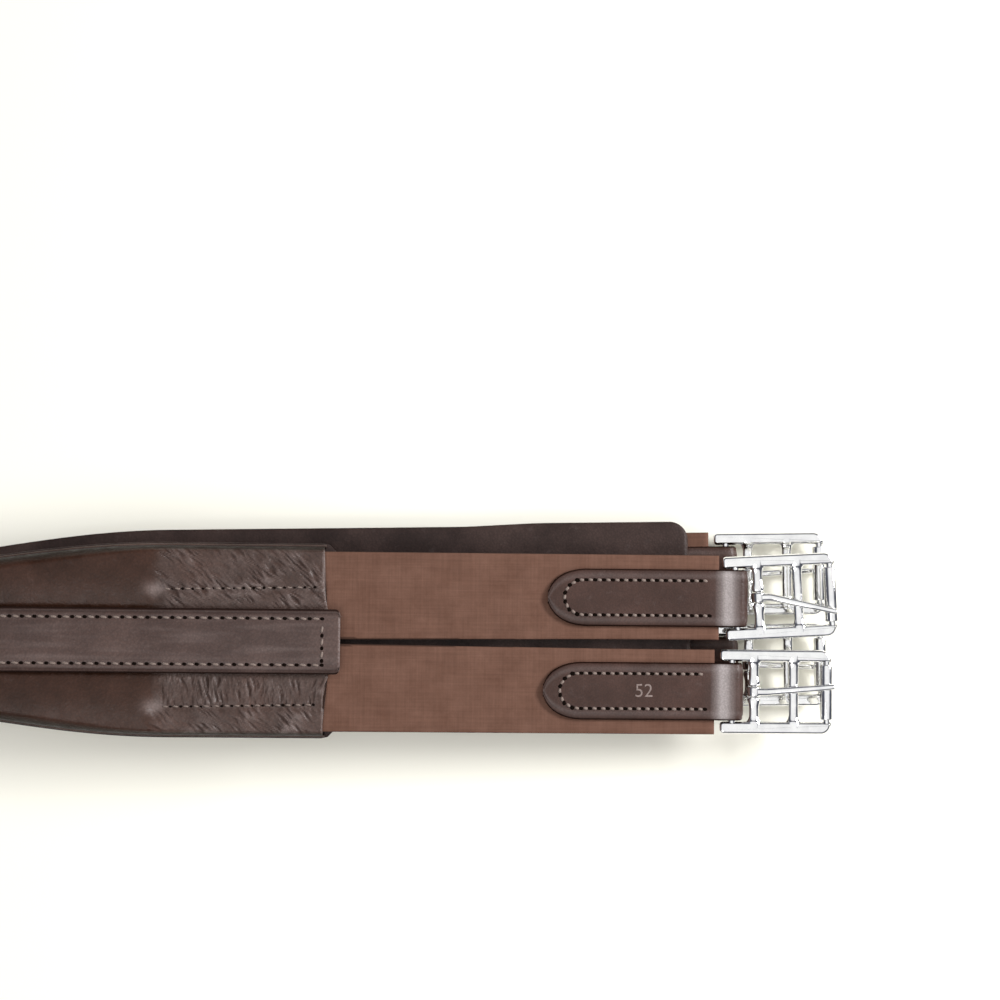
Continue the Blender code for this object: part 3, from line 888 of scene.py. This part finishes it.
def make_elastic(label, matrix, half):
    """A ribbed web whose inner edge splays, running from its half to its chape."""
    rows, uv, edge = [], [], []
    xs = np.concatenate([np.arange(ELASTIC_BACK, -9.0, 1.6), [-8.8, -8.5]])
    inner = 1 if label in ("lower_right", "upper_left") else -1
    for x in xs:
        ring = []
        along = float(smoothstep(ELASTIC_BACK, -20, x))
        thin = math.sqrt(max(0.1, 1 - max(0.0, (x + 9.6) / 1.15) ** 2)) if x > -9.6 else 1.0
        for i in range(40):
            a = 2 * math.pi * i / 40
            c, s = math.cos(a), math.sin(a)
            y = ELASTIC_HALF * abs(c) ** 0.35 * (1 if c > 0 else -1)
            y += inner * (0.8 - 1.5 * along) if y * inner > 0 else 0.0
            z = ELASTIC_DEEP * abs(s) ** 0.3 * (1 if s > 0 else -1) * thin
            rib = 0.14 * math.exp(-(((abs(y) - ELASTIC_HALF + 1.6) / 0.7) ** 2))
            wave = 0.10 * noise.noise(Vector((x / 16.0, y / 14.0, 2.0)))
            ring.append((x, y, z * (1 + rib) + wave))
            uv.append((x * MM, y * MM))
            # Painted shade: the web's side faces are darkened.
            edge.append(0.8 if abs(y) > ELASTIC_HALF - 0.3 else 0.0)
        rows.append(ring)
    obj = sweep(f"{label}_elastic_web", rows, "elastic", edges=edge, uv=uv, matrix=matrix)
    start, end = place([(STRETCH_FROM, 0, 0), (CHAPE_TIP, 0, 0)], matrix)
    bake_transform(obj)
    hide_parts(f"{label}_elastic")


TAB_STEPS = np.concatenate(
    [np.linspace(0, 2, 9) ** 2, np.arange(4.8, 24, 0.9), np.arange(24, 78, 2.5)]
)
TAB_ROW = 8.4
EDGE_TURNS = np.radians(np.linspace(75, -75, 7))


def chape_path():
    """The chape's middle line in x and z: outer leaf, round the bar, inner leaf."""
    radius = 2.2 + CHAPE_THICK / 2
    path = [(x, -CHAPE_LEAF) for x in TAB_STEPS + CHAPE_TIP]
    swell = ((-11.0, 0.0), (-8.0, 0.05), (-5.5, 0.22), (-3.0, 0.5))
    neck = [(x, -CHAPE_LEAF - out) for x, out in swell]
    path += neck + [(-1.0, -radius)]
    for a in range(-80, 81, 10):
        path.append((1.0 + radius * math.cos(math.radians(a)), radius * math.sin(math.radians(a))))
    path += [(-1.0, radius)] + [(x, -z) for x, z in reversed(neck)]
    path += [(x, CHAPE_LEAF) for x in np.arange(-14.0, CHAPE_TIP + 3, -3.0)]
    return path + [(CHAPE_TIP + 1.0, CHAPE_LEAF)]


def tip_half(x):
    """The tab narrows to a long rounded tip."""
    t = min(1.0, max(0.02, (x - CHAPE_TIP + 0.1) / 20.0))
    return CHAPE_HALF * math.sqrt(max(0.0, 1 - (1 - t) ** 2.3))


def make_chape(label, matrix):
    """The leather tab folded round the buckle's rear bar, with its stitches."""
    path = np.array(chape_path())
    way = np.gradient(path, axis=0)
    way /= np.linalg.norm(way, axis=1, keepdims=True)
    rows, edge, highlight_and_wear = [], [], []
    for (x, z), (dx, dz) in zip(path, way):
        half = tip_half(x)
        out = np.array([dz, -dx])
        ring = []
        deep = CHAPE_THICK / 2
        rim = min(1.0, half * 0.5)
        flat = half - rim
        round_edge = [(flat + rim * math.cos(a), deep * math.sin(a)) for a in EDGE_TURNS]
        across = [(y, deep) for y in np.linspace(-flat, flat, 31)] + round_edge
        across += [(y, -deep) for y in np.linspace(flat, -flat, 9)]
        across += [(-y, depth) for y, depth in reversed(round_edge)]
        for y, depth in across:
            face = depth > 0.9 * deep
            crease = 0.22 * math.exp(-(((half - abs(y) - 1.9) / 0.4) ** 2)) if face else 0.0
            row = 0.25 * math.exp(-(((abs(y) - TAB_ROW) / 0.8) ** 2)) if face and x < -10 else 0.0
            slope = 0.55 * max(0.0, 1 - (half - abs(y)) / 4.5) ** 1.6 if depth > 0 else 0.0
            shift = depth - crease - row - slope
            ring.append((x + out[0] * shift, y, z + out[1] * shift))
            # The side walls and a thin band at the top face's rim are near black: dark edge dye, made darker
            # as painted shade round the tab.
            edge.append(0.95 if abs(depth) < 0.9 * deep else 0.5 * math.exp(-((half - abs(y)) ** 2)))
            # Painted highlight on the wrap round the bar, and along a band outside the stitch row near each
            # rim.
            wrap = math.exp(-(((x + 4.5) / 3.4) ** 2)) if z < 0 else 0.0
            rubbed_and_lit = max(0.0, 1 - abs(half - abs(y) - 3.2) / 1.8) * 0.1
            highlight_and_wear.append(min(1.0, wrap + rubbed_and_lit) if face else 0.0)
        rows.append(ring)
    obj = sweep(f"{label}_chape_tab", rows, "tab_leather", edge, highlight_and_wear, matrix=matrix)
    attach(obj, f"{label}_chape")
    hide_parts(f"{label}_chape")
    turn = [math.radians(a) for a in range(-90, 91, 10)]
    tip = [(CHAPE_TIP + 8.0 + 9.5 * (1 - math.cos(a)), TAB_ROW * math.sin(a)) for a in turn]
    line = [(-13.5, -TAB_ROW)] + tip + [(-13.5, TAB_ROW)]
    top = -CHAPE_LEAF - CHAPE_THICK / 2

    def on_tab(x, _):
        return top + (0.22 if x > CHAPE_TIP + 17 else 0.04)

    sew(f"{label}_chape", [line], on_tab, TAB_PITCH, matrix, f"{label}_chape", wide=0.7, slant=0.24)


def make_size_mark(matrix):
    """The size pressed into one tab, as two plain digits, lighter than the tab as painted highlight."""
    curve = bpy.data.curves.new("digits", "FONT")
    curve.body = "52"
    curve.align_x = curve.align_y = "CENTER"
    curve.size, curve.extrude, curve.bevel_depth, curve.bevel_resolution = 9.0, 0.05, 0.1, 1
    curve.offset = -0.12
    text = new_object("digits", curve)
    graph = bpy.context.evaluated_depsgraph_get()
    mesh = text.evaluated_get(graph).to_mesh()
    top = -CHAPE_LEAF - CHAPE_THICK / 2 + 0.02
    verts = [(-43.0 + v.co.x, -v.co.y, top - v.co.z) for v in mesh.vertices]
    faces = [tuple(p.vertices) for p in mesh.polygons]
    bpy.data.objects.remove(text)
    obj = new_piece("size_mark", place(verts, matrix), faces, "digit_highlight")
    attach(obj, "upper_right_chape")


# Buckles


def from_bmesh(name, work, matrix):
    """A chrome piece from the bmesh, with its creases kept sharp."""
    work.transform(matrix)
    bmesh.ops.recalc_face_normals(work, faces=work.faces)
    mesh = bpy.data.meshes.new(name)
    work.to_mesh(mesh)
    work.free()
    mesh.shade_smooth()
    mesh.set_sharp_from_angle(angle=math.radians(35))
    mesh.materials.append(LOOKS["buckle_steel"])
    obj = new_object(name, mesh)
    return obj


def join_rings(work, rings):
    """The faces between each ring of vertices and the next."""
    for ring, after in zip(rings, rings[1:]):
        for i in range(len(ring)):
            work.faces.new((ring[i - 1], after[i - 1], after[i], ring[i]))


def turned(work, profile, x, segments=36, flat=1.0):
    """A shape turned about the y axis at x and flattened, closed at its ends unless it is a ring."""
    rings = []
    for along, radius in profile:
        ring = []
        for i in range(segments):
            a = 2 * math.pi * i / segments
            ring.append(work.verts.new((x + radius * math.cos(a), along, flat * radius * math.sin(a))))
        rings.append(ring)
    closed = profile[0] == profile[-1]
    if closed:
        for v in rings.pop():
            work.verts.remove(v)
        rings.append(rings[0])
    join_rings(work, rings)
    if not closed:
        work.faces.new(rings[0])
        work.faces.new(rings[-1])


def rounded_ring(half, outer, bore, rim):
    """The profile of a ring whose outer rims are rounded, back to where it starts."""
    turns = np.radians(np.linspace(0, 90, 5))
    turn = [(-half + rim - rim * math.sin(a), outer - rim + rim * math.cos(a)) for a in turns]
    return [(-half, bore)] + turn[::-1] + [(-y, r) for y, r in turn] + [(half, bore), (-half, bore)]


def rail(work, side):
    """One side of the buckle, with a large round at its front outer corner."""
    centre = ((RAIL_BACK + RAIL_FRONT) / 2, side * (RAIL_INNER + RAIL_WIDE / 2), 0.0)
    sizes = Matrix.Diagonal((RAIL_FRONT - RAIL_BACK, RAIL_WIDE, RAIL_DEEP, 1.0))
    made = bmesh.ops.create_cube(work, size=1.0, matrix=Matrix.Translation(centre) @ sizes)["verts"]
    edges = {e for v in made for e in v.link_edges}
    upright = [e for e in edges if abs(e.verts[0].co.z - e.verts[1].co.z) > 1]

    def at(edge, front, outer):
        v = edge.verts[0].co
        return (v.x > centre[0]) == front and (side * v.y > side * centre[1]) == outer

    big = [e for e in upright if at(e, True, True)]
    out = bmesh.ops.bevel(work, geom=big, offset=4.8, segments=10, profile=0.5, affect="EDGES")
    live = {v for v in made if v.is_valid} | set(out["verts"])
    edges = {e for v in live for e in v.link_edges}
    small = [e for e in edges if abs(e.verts[0].co.z - e.verts[1].co.z) > 1 and e.calc_face_angle() > 1]
    soft = bmesh.ops.bevel(work, geom=small, offset=1.9, segments=6, profile=0.5, affect="EDGES")
    live = {v for v in live if v.is_valid} | set(soft["verts"])
    edges = {e for v in live for e in v.link_edges if all(w in live for w in e.verts)}
    rims = [e for e in edges if e.calc_face_angle() > 1]
    bmesh.ops.bevel(work, geom=rims, offset=1.5, segments=5, profile=0.5, affect="EDGES")


# A bar spreads into the rail: how far in from the rail, and how wide there.
BAR_ROOT = ((0.0, 3.7), (0.4, 3.3), (0.9, 2.95), (1.6, 2.65), (2.6, 2.42), (4.0, 2.35))
BAR_FLAT = 0.6


def make_frame(label, matrix):
    """Two rails joined by the rear bar, the tongue's bar, the third bar and the front pin."""
    work = bmesh.new()
    reach = RAIL_INNER + RAIL_WIDE / 2
    for side in (-1, 1):
        rail(work, side)
    turned(work, [(-reach, BAR_R), (reach, BAR_R)], 0.0)
    root = [(-reach, 3.7)] + [(-RAIL_INNER + y, r) for y, r in BAR_ROOT]
    knob = [(-8.0, 2.35), (-6.4, 2.6), (-5.0, 3.0), (-3.9, 3.05), (-3.0, 2.75), (-2.65, 2.3)]
    profile = root + knob + [(-2.65, 1.3), (2.65, 1.3)] + [(-y, r) for y, r in reversed(root + knob)]
    turned(work, profile, MIDDLE_X, 48, BAR_FLAT)
    turned(work, root + [(-y, r) for y, r in reversed(root)], THIRD_X, 48, BAR_FLAT)
    turned(work, [(-reach, 1.7), (reach, 1.7)], FRONT_X)
    obj = from_bmesh(f"{label}_frame_metal", work, matrix)
    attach(obj, f"{label}_frame")
    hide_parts(f"{label}_frame")


def make_roller(label, matrix):
    """The free tube on the front pin."""
    work = bmesh.new()
    profile = rounded_ring(ROLLER_HALF, ROLLER_R, 2.0, 0.5)
    turned(work, profile, FRONT_X, 48)
    obj = from_bmesh(f"{label}_roller_metal", work, matrix)
    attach(obj, f"{label}_roller")
    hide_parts(f"{label}_roller")


TONGUE_YAW = {"lower_left": 3.0, "lower_right": -3.0, "upper_left": 15.0, "upper_right": -5.0}


def make_tongue(label, matrix):
    """An eye round the pin and a tapering arm that comes to rest across the roller."""
    work = bmesh.new()
    profile = rounded_ring(2.3, 3.6, 1.6, 0.7)
    turned(work, profile, MIDDLE_X, 32)
    yaw = math.radians(TONGUE_YAW[label])
    rings = []
    for t in [*np.linspace(0, 1, 24), 1.006, 1.012, 1.016, 1.018]:
        u = min(t, 1.0)
        along = 1.2 + 36.6 * t
        drop = 2.1 + 2.75 * float(ease(u * 1.15))
        aside = max(0.0, along - 5.4) * math.sin(yaw)
        wide = 1.95 - 0.55 * u
        deep = 1.8 - 0.55 * u
        if t > 1:
            shrink = math.sqrt(max(0.0, 1 - ((t - 1) / 0.0185) ** 2))
            wide, deep = wide * shrink + 0.02, deep * shrink + 0.02
        ring = []
        for i in range(20):
            a = 2 * math.pi * i / 20
            y = aside + wide * abs(math.cos(a)) ** 0.85 * math.copysign(1, math.cos(a))
            z = -drop + deep * abs(math.sin(a)) ** 0.85 * math.copysign(1, math.sin(a))
            ring.append(work.verts.new((MIDDLE_X + along * math.cos(yaw), y, z)))
        rings.append(ring)
    join_rings(work, rings)
    work.faces.new(rings[0])
    work.faces.new(rings[-1])
    obj = from_bmesh(f"{label}_tongue_metal", work, matrix)
    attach(obj, f"{label}_tongue")
    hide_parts(f"{label}_tongue")


def make_ends():
    """Everything past the pad, at each of the four ends."""
    for half in HALVES:
        for side in SIDES:
            label = f"{half}_{side}"
            chape = chape_matrix(label)
            buckle = buckle_matrix(label)
            make_elastic(label, chape, half)
            make_chape(label, chape)
            if label == "upper_right":
                make_size_mark(chape)
            make_frame(label, buckle)
            make_roller(label, buckle)
            make_tongue(label, buckle)


# Stage


def make_stage():
    """The pale floor that the girth lies on."""
    mesh = bpy.data.meshes.new("floor")
    mesh.from_pydata([(-9, -9, 0), (9, -9, 0), (9, 9, 0), (-9, 9, 0)], [], [(0, 1, 2, 3)])
    floor = new_object("floor", mesh)
    floor.location.z = -0.0004
    made, _, shader = node_material("floor", 0.6)
    shader.inputs["Base Color"].default_value = (0.97, 0.95, 0.84, 1)
    mesh.materials.append(made)


def area_light(name, place_at, target, size, power, colour):
    """A rectangular light that faces its target."""
    light = bpy.data.lights.new(name, "AREA")
    light.shape = "RECTANGLE"
    light.size, light.size_y = size
    light.energy = power
    light.color = colour
    obj = new_object(name, light)
    obj.location = place_at
    obj.rotation_euler = (Vector(target) - Vector(place_at)).to_track_quat("-Z", "Y").to_euler()


# The studio around the girth, from straight below to straight above.
SKY = (
    (0.0, (0.85, 0.86, 0.88)),
    (0.06, (0.50, 0.51, 0.54)),
    (0.12, (0.06, 0.065, 0.085)),
    (0.5, (0.09, 0.095, 0.12)),
    (0.7, (0.13, 0.135, 0.16)),
    (0.8, (0.92, 0.92, 0.94)),
    (1.0, (1.05, 1.05, 1.05)),
)


def make_light():
    """A bright overhead, dark walls that show in the chrome, a low window and a soft fill."""
    bpy.context.scene.view_settings.view_transform = "Standard"
    world = bpy.data.worlds.new("studio")
    bpy.context.scene.world = world
    world.use_nodes = True
    tree = world.node_tree
    way = tree.nodes.new("ShaderNodeTexCoord").outputs["Generated"]
    height = add(tree, "ShaderNodeSeparateXYZ", Vector=way).outputs["Z"]
    background = tree.nodes["Background"]
    tree.links.new(ramp(tree, height, SKY), background.inputs["Color"])
    background.inputs["Strength"].default_value = 1.0
    area_light("window", (1.35, 0.5, 0.8), (0.05, 0.0, 0.0), (0.7, 0.35), 29.0, (0.99, 0.99, 1.0))
    area_light("fill", (-0.2, -0.8, 1.3), (0.05, 0.0, 0.0), (0.9, 0.9), 7.0, (1.0, 0.98, 0.96))


PICTURE_WIDTH = 0.476
CAMERA_DISTANCE = 0.9
CAMERA_ELEVATION = math.radians(88)
LOOK_AT = Vector((0.1636, 0.0637, 0.042))


def make_camera():
    """Almost straight down on the buckle end, as in the photo."""
    camera = bpy.data.cameras.new("camera")
    camera.sensor_width = 36.0
    camera.lens = 36.0 * CAMERA_DISTANCE / PICTURE_WIDTH
    obj = new_object("camera", camera)
    away = Vector((0.0, -math.cos(CAMERA_ELEVATION), math.sin(CAMERA_ELEVATION)))
    obj.location = LOOK_AT + away * CAMERA_DISTANCE
    obj.rotation_euler = (-away).to_track_quat("-Z", "Y").to_euler()
    bpy.context.scene.camera = obj


make_camera()
make_body()
make_stitches()
make_ends()
make_stage()
make_light()
